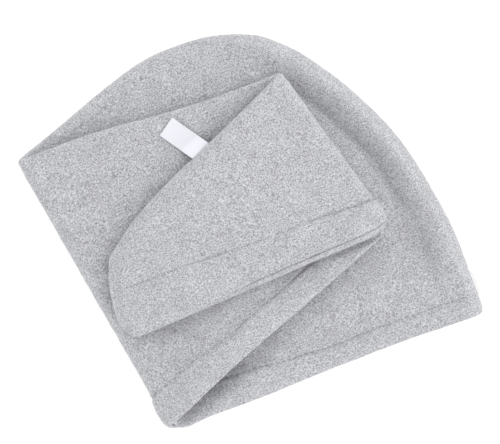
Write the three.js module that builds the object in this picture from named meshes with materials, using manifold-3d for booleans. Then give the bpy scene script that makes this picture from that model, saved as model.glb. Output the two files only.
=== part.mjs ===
// A hair turban towel, folded in three and lying on a table. Lengths are in millimetres and angles in degrees.
//
// The towel is two plies of towelling, cut to one outline and sewn together round its curved side. The straight
// side is hemmed on each ply and stays open. The flat cut is laid down from the nape corner: its length runs along
// the hem to the tail, and its width runs across to the seam. The folded towel comes from rolling that flat cut
// round two creases, so every layer keeps the real length of its cloth.
//
// X runs along the hood's hem towards the nape, the open side faces -Y and Z is up. The origin is under the middle
// of the folded towel, on the surface that it lies on.

import * as THREE from 'three';
import { mergeVertices } from 'three/addons/utils/BufferGeometryUtils.js';
import Module from 'manifold-3d';

// The cut and its cloth
const towelLength = 650;
const towelWidth = 255;
const clothThickness = 2.8;
const edgeRound = 1.4; // how far in from an edge the cloth reaches its full thickness
const hemWidth = 19.5; // from the hem's edge to its stitches
const hemThickness = 3.6;
const stitchWidth = 3; // the groove that the hem's stitches pull into the cloth, to each side
const stitchDepth = 0.5; // on each face
const tailHemInset = 5; // how far the front ply's hem stays behind the back ply's in the tail

// The air in the towel, between its plies and between its layers
const seamGap = 0.3;
const pressedGap = 1;
const hoodLoft = 6.6;
const rimLoft = 2.2;
const rimInset = 9; // from the seam to the crest of the puffed rim
const valleyDepth = 2;
const valleyInset = 21; // from the seam to the floor of the valley behind the rim
const layerGap = 0.8;
const foldSpace = 0.9; // half of the space that the inner ply leaves inside a fold
const settleLength = 60; // from a fold to where the cloth lies flat again
const liftHeight = 2.5; // the most that a stretch of hem stands off the layer below
const liftReach = 24;

// The label and the button
const labelLength = 30; // from the seam to its folded tip
const labelWidth = 15.6;
const labelThickness = 0.8;
const labelTurn = 12; // off the square to the seam
const labelDrop = 12; // the length in which it comes down from the seam
const labelTuck = 0.5; // how far its root reaches in between the rounded edges of the plies
const buttonDiameter = 28;
const buttonThickness = 3.6;
const buttonInset = 8.7; // its centre, from the nape side
const buttonUp = 22.9; // its centre, from the hem
const buttonRim = 3;
const buttonDish = 0.9;
const buttonHole = 2.4;
const buttonHoleSpacing = 6.4;
const clearance = 0.3;

// The flat cut as rows from the hem to the seam, in shares of the towel's length and width
const cutRows = [
  { hemAlong: 0, hemAcross: 0, seamAlong: 0.088, seamAcross: 0.859 },
  { hemAlong: 0.04, hemAcross: 0.004, seamAlong: 0.122, seamAcross: 0.939 },
  { hemAlong: 0.09, hemAcross: 0.008, seamAlong: 0.163, seamAcross: 0.981 },
  { hemAlong: 0.14, hemAcross: 0.008, seamAlong: 0.206, seamAcross: 0.996 },
  { hemAlong: 0.2, hemAcross: 0.006, seamAlong: 0.254, seamAcross: 0.989 },
  { hemAlong: 0.26, hemAcross: 0.002, seamAlong: 0.306, seamAcross: 0.951 },
  { hemAlong: 0.31, hemAcross: 0.003, seamAlong: 0.358, seamAcross: 0.905 },
  { hemAlong: 0.3645, hemAcross: 0.012, seamAlong: 0.4176, seamAcross: 0.853 },
  { hemAlong: 0.46, hemAcross: 0.033, seamAlong: 0.504, seamAcross: 0.776 },
  { hemAlong: 0.575, hemAcross: 0.043, seamAlong: 0.603, seamAcross: 0.669 },
  { hemAlong: 0.69, hemAcross: 0.058, seamAlong: 0.701, seamAcross: 0.585 },
  { hemAlong: 0.775, hemAcross: 0.092, seamAlong: 0.788, seamAcross: 0.536 },
  { hemAlong: 0.86, hemAcross: 0.128, seamAlong: 0.867, seamAcross: 0.498 },
  { hemAlong: 0.93, hemAcross: 0.158, seamAlong: 0.922, seamAcross: 0.46 },
  { hemAlong: 0.992, hemAcross: 0.186, seamAlong: 0.966, seamAcross: 0.411 },
];
const leftFoldRow = 7;
const rightFoldRow = 10;
const tailRow = cutRows.length - 1;
const labelRow = 11.385; // between two rows, where the label is sewn in

// The two curved ends of the cut, from the hem to the seam
const napeSide = [
  { along: 0, across: 0 },
  { along: 0, across: 0.13 },
  { along: 0, across: 0.25 },
  { along: 0.006, across: 0.37 },
  { along: 0.016, across: 0.5 },
  { along: 0.031, across: 0.61 },
  { along: 0.058, across: 0.745 },
  { along: 0.088, across: 0.859 },
];
const tailSide = [
  { along: 0.992, across: 0.186 },
  { along: 0.996, across: 0.242 },
  { along: 0.99, across: 0.299 },
  { along: 0.981, across: 0.355 },
  { along: 0.966, across: 0.411 },
];

// Stretches of hem that stand off the layer below: where they are in the cut, and their share of the lift height
const hemLifts = [
  { along: 0.42, across: 0.03, share: 1 },
  { along: 0.78, across: 0.09, share: 0.7 },
  { along: 0.93, across: 0.16, share: 0.8 },
];

// The clamped ramp from 0 to 1 that eases in and out
const ease = (share) => THREE.MathUtils.smoothstep(share, 0, 1);
const mix = THREE.MathUtils.lerp;
const bump = (share) => Math.exp(-share * share);

// A place in the flat cut: X is minus the length along the hem, Y is the width towards the seam
const flat = (along, across) => new THREE.Vector2(-along * towelLength, across * towelWidth);

function curveThrough(points) {
  const curve = new THREE.SplineCurve(points);
  return (share) => curve.getPoint(THREE.MathUtils.clamp(share, 0, 1));
}

const hemCurve = curveThrough(cutRows.map((row) => flat(row.hemAlong, row.hemAcross)));
const seamCurve = curveThrough(cutRows.map((row) => flat(row.seamAlong, row.seamAcross)));
const napeCurve = curveThrough(napeSide.map((point) => flat(point.along, point.across)));
const tailCurve = curveThrough(tailSide.map((point) => flat(point.along, point.across)));
const hemAt = (row) => hemCurve(row / tailRow);
const seamAt = (row) => seamCurve(row / tailRow);

// How far an end's curve bows from the straight line between its two corners
function bowOf(curve, share) {
  const chord = curve(0).lerp(curve(1), share);
  return curve(share).sub(chord);
}

// A point of the cut by its row and its share of the way from the hem to the seam
function cutPoint(row, share) {
  const napeFade = Math.max(0, 1 - row / leftFoldRow) ** 2;
  const tailFade = Math.max(0, (row - rightFoldRow) / (tailRow - rightFoldRow)) ** 2;
  return hemAt(row)
    .lerp(seamAt(row), share)
    .addScaledVector(bowOf(napeCurve, share), napeFade)
    .addScaledVector(bowOf(tailCurve, share), tailFade);
}

// The distance from a flat point to a line of points
function distanceToLine(line, point) {
  let nearest = Infinity;
  for (let index = 1; index < line.length; index += 1) {
    const start = line[index - 1];
    const step = line[index].clone().sub(start);
    const reach = point.clone().sub(start);
    const share = THREE.MathUtils.clamp(reach.dot(step) / step.lengthSq(), 0, 1);
    nearest = Math.min(nearest, reach.addScaledVector(step, -share).length());
  }
  return nearest;
}

function lineAlong(curve, steps) {
  return Array.from({ length: steps + 1 }, (_, index) => curve(index / steps));
}

const edgeSteps = 120;
const hemLine = lineAlong(hemCurve, edgeSteps);
const seamLine = [
  ...lineAlong(napeCurve, edgeSteps / 2),
  ...lineAlong(seamCurve, edgeSteps).slice(1),
  ...lineAlong(tailCurve, edgeSteps / 4).reverse().slice(1),
];
const fromHem = (point) => distanceToLine(hemLine, point);
const fromSeam = (point) => distanceToLine(seamLine, point);

// A crease runs straight along a row of the cut. Its outward direction points to the tail.
function creaseAt(row) {
  const start = hemAt(row);
  const along = seamAt(row).sub(start).normalize();
  const outward = new THREE.Vector2(-along.y, along.x);
  return { start, outward };
}

const leftCrease = creaseAt(leftFoldRow);
const rightCrease = creaseAt(rightFoldRow);
const foldRadius = hemThickness + pressedGap / 2 + foldSpace; // to the middle between the two plies
const halfTurn = (Math.PI * foldRadius) / 2;
const pastCrease = (crease, point) => point.clone().sub(crease.start).dot(crease.outward);

// A flat point's mirror image in a crease: where it comes to lie once the cloth is folded there
function mirrored(crease, point) {
  return point.clone().addScaledVector(crease.outward, -2 * pastCrease(crease, point));
}

// The point on the near side of a fold where its roll starts, level with the given point
function rollStart(crease, point) {
  return point.clone().addScaledVector(crease.outward, -(pastCrease(crease, point) + halfTurn));
}

// The thickness of one ply: full cloth, thicker in the turned-up hem
function plyThickness(point) {
  const pastStitches = (fromHem(point) - hemWidth) / stitchWidth;
  return mix(hemThickness, clothThickness, ease(pastStitches));
}

// The air between the two plies: none at the seam, a puffed rim and a valley round the hood, pressed flat at the
// left fold and beyond
function plyGap(point) {
  const seam = fromSeam(point);
  const hoodShare = ease((-pastCrease(leftCrease, point) - halfTurn) / settleLength);
  const rim = rimLoft * bump((seam - rimInset) / (rimInset * 0.6));
  const napeShare = 1 - ease((-point.x - 0.2 * towelLength) / (0.12 * towelLength));
  const valley = valleyDepth * napeShare * bump((seam - valleyInset) / (valleyInset * 0.4));
  const open = mix(pressedGap, hoodLoft + rim - valley, hoodShare);
  return mix(seamGap, open, ease((seam + edgeRound) / rimInset) * ease(seam / edgeRound));
}

const halfDepth = (point) => plyGap(point) / 2 + plyThickness(point);

// The heights of the middle between the plies, in the three layers
const buttonPlace = new THREE.Vector2(-buttonInset, buttonUp);

function hoodHeight(point) {
  const beyondButton = point.distanceTo(buttonPlace) - buttonDiameter / 2 - 2 * clothThickness;
  const buttonLift = (buttonThickness + clearance) * (1 - ease(beyondButton / buttonDiameter));
  return buttonLift + halfDepth(point);
}

function hemLift(point) {
  return hemLifts.reduce((sum, lift) => {
    const away = point.distanceTo(flat(lift.along, lift.across)) / liftReach;
    return sum + liftHeight * lift.share * bump(away);
  }, 0);
}

// The height of a layer past a fold: it leaves the roll and settles down on the layer under it
function settled(crease, point, heightBefore) {
  const under = mirrored(crease, point);
  const leaving = heightBefore(rollStart(crease, point)) + 2 * foldRadius;
  const lying = heightBefore(under) + halfDepth(under) + layerGap + halfDepth(point) + hemLift(point);
  const settledShare = ease((pastCrease(crease, point) - halfTurn) / settleLength);
  return lying + (1 - settledShare) * Math.max(0, leaving - lying);
}

const middleHeight = (point) => settled(leftCrease, point, hoodHeight);
const topHeight = (point) => settled(rightCrease, point, middleHeight);

const upright = new THREE.Vector3(0, 0, 1);
const raised = (point, height) => new THREE.Vector3(point.x, point.y, height);

// Half a turn round a fold: the place on the middle between the plies, and the direction across them
function rolled(foot, height, outward, angle, turnOver) {
  const spoke = raised(outward, 0).multiplyScalar(Math.sin(angle)).addScaledVector(upright, -Math.cos(angle));
  const place = raised(foot, height + foldRadius).addScaledVector(spoke, foldRadius);
  return { place, across: spoke.multiplyScalar(turnOver) };
}

// Where a flat point of the cut comes to lie in the folded towel. The offset runs across the plies, towards the
// front ply, which is the upper one in the hood and in the tail and the lower one between the folds.
function folded(point, offset) {
  const pastLeft = pastCrease(leftCrease, point);
  const pastRight = pastCrease(rightCrease, point);
  if (pastLeft <= -halfTurn) {
    return raised(point, hoodHeight(point) + offset);
  }
  if (pastLeft < halfTurn) {
    const foot = rollStart(leftCrease, point);
    const angle = (pastLeft + halfTurn) / foldRadius;
    const turn = rolled(foot, hoodHeight(foot), leftCrease.outward, angle, -1);
    return turn.place.addScaledVector(turn.across, offset);
  }
  if (pastRight <= -halfTurn) {
    return raised(mirrored(leftCrease, point), middleHeight(point) - offset);
  }
  if (pastRight < halfTurn) {
    const foot = rollStart(rightCrease, point);
    const outward = mirrored(leftCrease, rightCrease.outward.clone().add(leftCrease.start)).sub(leftCrease.start);
    const angle = (pastRight + halfTurn) / foldRadius;
    const turn = rolled(mirrored(leftCrease, foot), middleHeight(foot), outward, angle, 1);
    return turn.place.addScaledVector(turn.across, offset);
  }
  return raised(mirrored(leftCrease, mirrored(rightCrease, point)), topHeight(point) + offset);
}

// A closed shell over a grid. cornerAt gives the place of a row, a column and a face: 1 is the face towards which
// the grid's columns turn from its rows, and -1 is the other.
function shell(rows, columns, cornerAt) {
  const places = [];
  const faces = [];
  const corner = (row, column, face) => 2 * (row * columns + column) + (face > 0 ? 1 : 0);
  const quad = (first, second, third, fourth) => faces.push(first, second, third, first, third, fourth);
  for (let row = 0; row < rows; row += 1) {
    for (let column = 0; column < columns; column += 1) {
      places.push(...cornerAt(row, column, -1).toArray(), ...cornerAt(row, column, 1).toArray());
    }
  }
  for (let row = 1; row < rows; row += 1) {
    for (let column = 1; column < columns; column += 1) {
      for (const face of [1, -1]) {
        const [before, after] = face > 0 ? [row - 1, row] : [row, row - 1];
        quad(
          corner(before, column - 1, face),
          corner(before, column, face),
          corner(after, column, face),
          corner(after, column - 1, face),
        );
      }
    }
  }
  const edge = (row, column, nextRow, nextColumn) => quad(
    corner(nextRow, nextColumn, 1),
    corner(row, column, 1),
    corner(row, column, -1),
    corner(nextRow, nextColumn, -1),
  );
  for (let column = 1; column < columns; column += 1) {
    edge(0, column - 1, 0, column);
    edge(rows - 1, column, rows - 1, column - 1);
  }
  for (let row = 1; row < rows; row += 1) {
    edge(row - 1, columns - 1, row, columns - 1);
    edge(row, 0, row - 1, 0);
  }
  const geometry = new THREE.BufferGeometry();
  geometry.setAttribute('position', new THREE.Float32BufferAttribute(places, 3));
  geometry.setIndex(faces);
  geometry.computeVertexNormals();
  return geometry;
}

// Even steps from one value to another, both included
function steps(from, to, count) {
  return Array.from({ length: count + 1 }, (_, index) => mix(from, to, index / count));
}

// The rows at which the shells are worked out: close together at both ends, round the two folds and where the
// cloth settles beside the left one
function rowsNear(row, lengths) {
  const gauge = 0.05;
  const inside = row < tailRow / 2 ? row + gauge : row - gauge;
  const perRow = cutPoint(row, 0.5).distanceTo(cutPoint(inside, 0.5)) / gauge;
  return lengths.map((length) => row + length / perRow);
}

const rimSteps = [0, edgeRound, rimInset / 2, rimInset, (rimInset + valleyInset) / 2, valleyInset];
const turnSteps = steps(-halfTurn, halfTurn, 8);
const napeRows = rowsNear(0, rimSteps);
const leftRows = rowsNear(leftFoldRow, turnSteps);
const rightRows = rowsNear(rightFoldRow, turnSteps);
const tailRows = rowsNear(tailRow, [-rimInset, -rimInset / 2, -edgeRound, 0]);
const settling = (share) => share ** 1.5;
const shellRows = [
  ...napeRows,
  ...steps(0, 1, 15).slice(1, -1).map((share) => mix(leftRows[0], napeRows.at(-1), settling(1 - share))),
  ...leftRows,
  ...steps(0, 1, 9).slice(1, -1).map((share) => mix(leftRows.at(-1), rightRows[0], settling(share))),
  ...rightRows,
  ...steps(0, 1, 10).slice(1, -1).map((share) => mix(rightRows.at(-1), tailRows[0], share)),
  ...tailRows,
];

// The lines along the cloth: close together in the hem and along the seam. They keep their distances, and only
// where the cut is too narrow for both sets do the inmost lines give way.
const stitchLines = [hemWidth - stitchWidth, hemWidth, hemWidth + stitchWidth];
const hemShare = 0.55;
const seamShare = 0.35;
const innerSpaces = 6;

function acrossAt(row, inset) {
  const width = hemAt(row).distanceTo(seamAt(row));
  const hemReach = Math.min(inset + 2 * hemWidth, hemShare * width);
  const seamScale = Math.min(1, (seamShare * width) / valleyInset);
  const hemLines = [0, edgeRound, hemWidth / 3, ...stitchLines].map((line) => line + inset);
  const seamLines = rimSteps.map((line) => width - line * seamScale).reverse();
  const innerLines = steps(hemReach, seamLines[0], innerSpaces).slice(0, -1);
  return [...hemLines, ...innerLines, ...seamLines].map((length) => length / width);
}

// One ply of the towel. The side is 1 for the front ply and -1 for the back one.
function plyShell(side) {
  const insets = shellRows.map((row) => {
    const tailShare = ease((row - leftFoldRow) / (rightFoldRow - leftFoldRow));
    return side > 0 ? tailHemInset * tailShare : 0;
  });
  const grid = shellRows.map((row, index) => acrossAt(row, insets[index]).map((share) => cutPoint(row, share)));
  return shell(grid.length, grid[0].length, (row, column, face) => {
    const point = grid[row][column];
    const hem = Math.max(0, fromHem(point) - insets[row]);
    const edgeShare = Math.min(1, Math.min(hem, fromSeam(point)) / edgeRound);
    const rounding = 0.35 + 0.65 * edgeShare;
    const groove = stitchDepth * bump((hem - hemWidth) / (stitchWidth / 2));
    const half = (plyThickness(point) / 2 - groove) * rounding;
    const middle = side * (plyGap(point) + plyThickness(point)) / 2;
    return folded(point, middle + face * half);
  });
}

// The label, a flat strip that comes out of the tail's seam and lies on the layer below
function labelShell() {
  const root = seamAt(labelRow);
  const gauge = 0.1;
  const alongSeam = seamAt(labelRow + gauge).sub(seamAt(labelRow - gauge)).normalize();
  const turn = THREE.MathUtils.degToRad(labelTurn);
  const origin = new THREE.Vector2(0, 0);
  const outward = new THREE.Vector2(alongSeam.y, -alongSeam.x).rotateAround(origin, turn);
  const sideways = new THREE.Vector2(-outward.y, outward.x);
  const lengths = steps(0, 1, 8);
  const widths = [0.5, 0, -0.5];
  return shell(lengths.length, widths.length, (row, column, face) => {
    const side = widths[column] * labelWidth;
    const rootReach = side * Math.tan(turn) - labelTuck;
    const reach = mix(rootReach, labelLength, lengths[row]);
    const point = root.clone().addScaledVector(outward, reach).addScaledVector(sideways, side);
    const under = mirrored(rightCrease, point);
    const sewn = topHeight(root);
    const lying = middleHeight(under) + halfDepth(under) + clearance + labelThickness / 2;
    const height = mix(sewn, lying, ease((reach - rootReach) / labelDrop));
    return raised(mirrored(leftCrease, under), height + face * labelThickness / 2);
  });
}

// The button, a dished disc with four holes that lies face down under the nape corner
async function buttonShape() {
  const wasm = await Module();
  wasm.setup();
  const solidOf = (geometry) => {
    geometry.deleteAttribute('normal');
    geometry.deleteAttribute('uv');
    const merged = mergeVertices(geometry, 1e-4);
    const vertProperties = new Float32Array(merged.attributes.position.array);
    const triVerts = new Uint32Array(merged.index.array);
    return new wasm.Manifold(new wasm.Mesh({ numProp: 3, vertProperties, triVerts }));
  };
  const radius = buttonDiameter / 2;
  const bevel = buttonThickness / 4;
  const dishRadius = radius - buttonRim;
  const profile = [
    [0, buttonDish],
    [dishRadius - buttonDish, buttonDish],
    [dishRadius, 0],
    [radius - bevel, 0],
    [radius, bevel],
    [radius, buttonThickness - bevel],
    [radius - bevel, buttonThickness],
    [0, buttonThickness],
  ].map(([across, height]) => new THREE.Vector2(across, height));
  let button = solidOf(new THREE.LatheGeometry(profile, 32).rotateX(Math.PI / 2));
  for (const quarter of [0, 1, 2, 3]) {
    const angle = (quarter + 0.5) * (Math.PI / 2);
    const reach = buttonHoleSpacing / 2;
    const hole = new THREE.CylinderGeometry(buttonHole / 2, buttonHole / 2, 4 * buttonThickness, 10)
      .rotateX(Math.PI / 2)
      .translate(reach * Math.cos(angle), reach * Math.sin(angle), 0);
    button = button.subtract(solidOf(hole));
  }
  const mesh = button.getMesh();
  const geometry = new THREE.BufferGeometry();
  geometry.setAttribute('position', new THREE.BufferAttribute(mesh.vertProperties, 3));
  geometry.setIndex(new THREE.BufferAttribute(mesh.triVerts, 1));
  geometry.computeVertexNormals();
  return geometry;
}

function piece(name, geometry, color, roughness) {
  const material = new THREE.MeshStandardMaterial({ color, roughness, metalness: 0 });
  const mesh = new THREE.Mesh(geometry, material);
  mesh.name = name;
  return mesh;
}

const button = piece('button', await buttonShape(), 0xf2f2f0, 0.35);
button.position.set(buttonPlace.x, buttonPlace.y, 0);

const towel = new THREE.Group();
towel.add(
  piece('back_panel', plyShell(-1), 0xbfc0c4, 0.95),
  piece('front_panel', plyShell(1), 0xc6c7cb, 0.95),
  piece('side_label', labelShell(), 0xf4f4f2, 0.6),
  button,
);

// The folded towel's middle goes over the origin, and its underside onto the surface
const box = new THREE.Box3().setFromObject(towel, true);
const middle = box.getCenter(new THREE.Vector3());
towel.position.set(-middle.x, -middle.y, -box.min.z);
const part = new THREE.Group();
part.add(towel);

export default part;
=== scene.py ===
# %% [markdown]
# # A hair turban towel, folded in three
#
# This lesson builds the plush towel from its flat cut. The real towel is two plies of towelling, sewn
# together round a curved side and left open along a hemmed one. It could be sculpted as a soft block, but
# then no layer would know how long its cloth is. Here the cut is drawn flat, and a formula rolls it round
# two creases. Every layer keeps its real length, and the hems and the seam land where they do on the real
# one.

# %% Load the fixed frame
import bpy
import numpy as np
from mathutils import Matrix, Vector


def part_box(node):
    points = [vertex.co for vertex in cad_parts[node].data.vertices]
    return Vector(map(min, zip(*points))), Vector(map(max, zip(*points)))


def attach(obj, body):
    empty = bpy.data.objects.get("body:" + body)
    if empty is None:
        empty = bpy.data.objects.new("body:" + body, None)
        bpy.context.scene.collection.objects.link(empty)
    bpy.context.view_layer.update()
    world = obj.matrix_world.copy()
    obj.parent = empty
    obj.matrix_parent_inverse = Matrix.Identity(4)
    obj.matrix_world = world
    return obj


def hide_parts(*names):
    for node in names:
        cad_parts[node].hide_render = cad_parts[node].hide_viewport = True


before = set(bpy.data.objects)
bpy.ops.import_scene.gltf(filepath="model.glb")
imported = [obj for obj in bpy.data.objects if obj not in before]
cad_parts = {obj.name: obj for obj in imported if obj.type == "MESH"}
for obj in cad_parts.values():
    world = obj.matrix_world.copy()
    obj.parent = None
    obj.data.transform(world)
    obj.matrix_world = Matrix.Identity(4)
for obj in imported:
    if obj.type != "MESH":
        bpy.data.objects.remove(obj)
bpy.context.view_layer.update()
print("nodes in the frame:", ", ".join(sorted(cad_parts)))

# %% [markdown]
# ## The camera
#
# The photograph looks straight down with a long lens, so the towel has no perspective to speak of. The
# camera is turned about the vertical until the long hem slopes as it does in the picture.

# %% Camera
camera_data = bpy.data.cameras.new("camera")
camera_data.sensor_width = 36
camera_data.lens = 300
camera_data.dof.use_dof = False
view_width = 0.352
picture_middle = (0.0004, -0.008)
camera_height = 0.02 + view_width * camera_data.lens / camera_data.sensor_width
camera_turn = np.radians(-20.75)
camera = bpy.data.objects.new("camera", camera_data)
bpy.context.scene.collection.objects.link(camera)
camera.location = (*picture_middle, camera_height)
camera.rotation_euler = (0, 0, camera_turn)
bpy.context.scene.camera = camera
print("the camera is", round(camera_height, 2), "m above the table")

# %% [markdown]
# ## Sizes
#
# All lengths are in metres. The cut is measured from the nape corner, with X running back along the hem
# and Y running up to the seam. The button's node tells where that corner stands in the shared frame, so
# the towel is laid over the frame with no fitting.

# %% Sizes of the cut, and where it lies
MM = 0.001
towel_length = 650 * MM
towel_width = 255 * MM
button_radius = 14 * MM
button_thickness = 3.6 * MM
button_place = np.array([-8.7, 22.9]) * MM
clearance = 0.3 * MM

button_low, button_high = (np.array(corner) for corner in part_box("button"))
nape_corner = ((button_low + button_high) / 2)[:2] - button_place
print("nape corner at", nape_corner.round(4))

# %% [markdown]
# ## Small tools
#
# A handful of formulas do all the shaping: a ramp that eases in and out, a bell, a smooth line through
# points, and a soft random relief. Each of them takes whole arrays.

# %% The ramp, the bell and a mix
def ease(share):
    """The ramp from 0 to 1 that starts and ends level: three squares less two cubes of the share."""
    share = np.clip(share, 0, 1)
    return share * share * (3 - 2 * share)


def bell(share):
    """The bell curve: e to the minus square of the share."""
    return np.exp(-share * share)


def mix(start, end, share):
    """The value that is a share of the way from start to end."""
    return start + (end - start) * share


print("the ramp at a quarter:", ease(0.25), "and the bell at 1:", round(float(bell(1)), 3))


# %% The smooth line
def spline(points, place):
    """A point on the smooth line through the points, where place 2.5 is halfway from point 2 to point 3.

    It is the cubic that passes each point in the direction from the point before to the point after."""
    points = np.asarray(points, float)
    place = np.clip(place, 0, len(points) - 1)
    first = np.minimum(place.astype(int), len(points) - 2)
    share = (place - first)[..., None]
    before, start, end, after = (
        points[np.clip(first + step, 0, len(points) - 1)] for step in (-1, 0, 1, 2)
    )
    leave, arrive = (end - before) / 2, (after - start) / 2
    cubic = 2 * start - 2 * end + leave + arrive
    square = 3 * end - 3 * start - 2 * leave - arrive
    return ((cubic * share + square) * share + leave) * share + start


corner_points = [(0, 0), (1, 0), (1, 1)]
print("halfway round a corner:", spline(corner_points, np.array(0.5)))


# %% Soft random relief
lattice_knots = 257
relief_origin = 1000


def soft_relief(flat, size, seed):
    """Random numbers from -1 to 1 on a lattice of the given size, blended between with eased shares. Each
    seed turns its lattice differently, so that no rows or columns show where several are added."""
    lattice = np.random.default_rng(seed).uniform(-1, 1, (lattice_knots, lattice_knots))
    lattice[-1], lattice[:, -1] = lattice[0], lattice[:, 0]
    cosine, sine = np.cos(seed), np.sin(seed)
    at = flat @ np.array([[cosine, sine], [-sine, cosine]]) / size + relief_origin
    low = np.floor(at).astype(int)
    share = ease(at - low)
    column, row = low[..., 0] % (lattice_knots - 1), low[..., 1] % (lattice_knots - 1)
    near = mix(lattice[row, column], lattice[row, column + 1], share[..., 0])
    far = mix(lattice[row + 1, column], lattice[row + 1, column + 1], share[..., 0])
    return mix(near, far, share[..., 1])


relief_places = np.stack([np.linspace(0, 1, 500), np.linspace(0, 1, 500)], -1)
print("the relief varies by", soft_relief(relief_places, 0.01, 1).std().round(2), "about its middle")

# %% [markdown]
# ## The flat cut
#
# A pattern cutter notes a shape as stations: at each one, where the hem is and where the seam is. The
# table holds those as shares of the towel's length and width. Rows between the stations come from the
# smooth line, and the two ends get their own curves, which fade out over the neighbouring rows.

# %% The stations of the cut
cut_rows = np.array([
    # hem along, hem across, seam along, seam across
    (0, 0, 0.088, 0.859),
    (0.04, 0.004, 0.122, 0.939),
    (0.09, 0.008, 0.163, 0.981),
    (0.14, 0.008, 0.206, 0.996),
    (0.2, 0.006, 0.254, 0.989),
    (0.26, 0.002, 0.306, 0.951),
    (0.31, 0.003, 0.358, 0.905),
    (0.3645, 0.012, 0.4176, 0.853),
    (0.46, 0.033, 0.504, 0.776),
    (0.575, 0.043, 0.603, 0.669),
    (0.69, 0.058, 0.701, 0.585),
    (0.775, 0.092, 0.788, 0.536),
    (0.86, 0.128, 0.867, 0.498),
    (0.93, 0.158, 0.922, 0.46),
    (0.992, 0.186, 0.966, 0.411),
])
nape_side = [
    (0, 0), (0, 0.13), (0, 0.25), (0.006, 0.37), (0.016, 0.5), (0.031, 0.61), (0.058, 0.745), (0.088, 0.859),
]
tail_side = [(0.992, 0.186), (0.996, 0.242), (0.99, 0.299), (0.981, 0.355), (0.966, 0.411)]
left_fold_row, right_fold_row, tail_row = 7, 10, len(cut_rows) - 1
to_flat = np.array([-towel_length, towel_width])
hem_points = cut_rows[:, :2] * to_flat
seam_points = cut_rows[:, 2:] * to_flat
nape_points = np.array(nape_side) * to_flat
tail_points = np.array(tail_side) * to_flat
print("the cut has", len(cut_rows), "stations; its folds are at", left_fold_row, "and", right_fold_row)


# %% Any point of the cut
def bow(points, share):
    """How far an end's curve stands off the straight line between its corners."""
    chord = mix(points[0], points[-1], share[..., None])
    return spline(points, share * (len(points) - 1)) - chord


def cut_point(row, share):
    """A share of the way from the row's hem point to its seam point, plus the bows of both ends, which fade
    with the square of the rows left."""
    row, share = np.broadcast_arrays(row, share)
    nape_fade = np.clip(1 - row / left_fold_row, 0, 1) ** 2
    tail_fade = np.clip((row - right_fold_row) / (tail_row - right_fold_row), 0, 1) ** 2
    straight = mix(spline(hem_points, row), spline(seam_points, row), share[..., None])
    bowed = straight + bow(nape_points, share) * nape_fade[..., None]
    return bowed + bow(tail_points, share) * tail_fade[..., None]


# %% The outline and the area of the cut
outline_steps = 90
every_row = np.linspace(0, tail_row, outline_steps)
every_share = np.linspace(0, 1, outline_steps // 2)
hem_line = spline(hem_points, every_row)
seam_line = np.concatenate([
    spline(nape_points, every_share * (len(nape_points) - 1)),
    spline(seam_points, every_row)[1:],
    spline(tail_points, (1 - every_share) * (len(tail_points) - 1))[1:],
])

# %% [markdown]
# ## How far a point is from the hem and from the seam
#
# The puffed rim, the valley behind it, the rounded edges and the stitched hem all follow an edge at a
# distance. That distance could be found afresh for each point, but there are a hundred thousand of them.
# It is worked out once on a fine lattice over the cut, and read from there by blending between its knots.

# %% Distance lattices
lattice_step = 1.2 * MM
lattice_low = np.array([-700, -30]) * MM
lattice_shape = (620, 270)
lattice_parts = 40


def distance_lattice(line):
    """The signed distance from each knot to the line: to the nearest point of its nearest segment, and
    negative on that segment's right side."""
    knots = np.stack(np.meshgrid(*(np.arange(count) for count in lattice_shape), indexing="ij"), -1)
    knots = (lattice_low + knots * lattice_step).reshape(-1, 2)
    start, step = line[:-1], np.diff(line, axis=0)
    found = []
    for part in np.array_split(knots, lattice_parts):
        reach = part[:, None] - start
        share = np.clip((reach * step).sum(-1) / (step * step).sum(-1), 0, 1)
        away = reach - share[..., None] * step
        distance = np.linalg.norm(away, axis=-1)
        nearest = distance.argmin(1)
        pick = np.arange(len(part))
        side = step[nearest, 0] * reach[pick, nearest, 1] - step[nearest, 1] * reach[pick, nearest, 0]
        found.append(distance[pick, nearest] * np.where(side < 0, -1, 1))
    return np.concatenate(found).reshape(lattice_shape)


hem_lattice = -distance_lattice(hem_line)
seam_lattice = distance_lattice(seam_line)


def read_lattice(lattice, flat):
    """The lattice's value at a flat point, blended in proportion between the four knots round it."""
    at = np.clip((flat - lattice_low) / lattice_step, 0, np.array(lattice_shape) - 1.001)
    low = at.astype(int)
    share = at - low
    column, row = low[..., 0], low[..., 1]
    near = mix(lattice[column, row], lattice[column + 1, row], share[..., 0])
    far = mix(lattice[column, row + 1], lattice[column + 1, row + 1], share[..., 0])
    return mix(near, far, share[..., 1])


def from_hem(flat):
    """The distance inwards from the hem's edge."""
    return read_lattice(hem_lattice, flat)


def from_seam(flat):
    """The distance inwards from the seam."""
    return read_lattice(seam_lattice, flat)


middle_of_hood = np.array([-0.15, 0.12])
print("the hood's middle is", from_hem(middle_of_hood).round(3), "m from the hem")
print("and", from_seam(middle_of_hood).round(3), "m from the seam")

# %% [markdown]
# ## The two creases
#
# The towel is folded over twice, along straight lines across its cut: first to the left, then back to the
# right. Both folds roll about the same radius, so that the cloth on the inside of the roll keeps a little
# space. A mirror image in a crease tells where on the layer below a point of the next layer comes to lie.

# %% The creases
hem_thickness = 3.6 * MM
pressed_gap = 1 * MM
fold_space = 0.9 * MM


def crease_at(row):
    """A crease along a straight row of the cut: its start at the hem and its direction to the tail."""
    start = spline(hem_points, np.array(float(row)))
    along = spline(seam_points, np.array(float(row))) - start
    along /= np.linalg.norm(along)
    return start, np.array([-along[1], along[0]])


left_crease = crease_at(left_fold_row)
right_crease = crease_at(right_fold_row)
fold_radius = hem_thickness + pressed_gap / 2 + fold_space
half_turn = np.pi * fold_radius / 2


def past_crease(crease, flat):
    """How far a flat point lies past the crease, towards the tail."""
    start, outward = crease
    return (flat - start) @ outward


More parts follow.
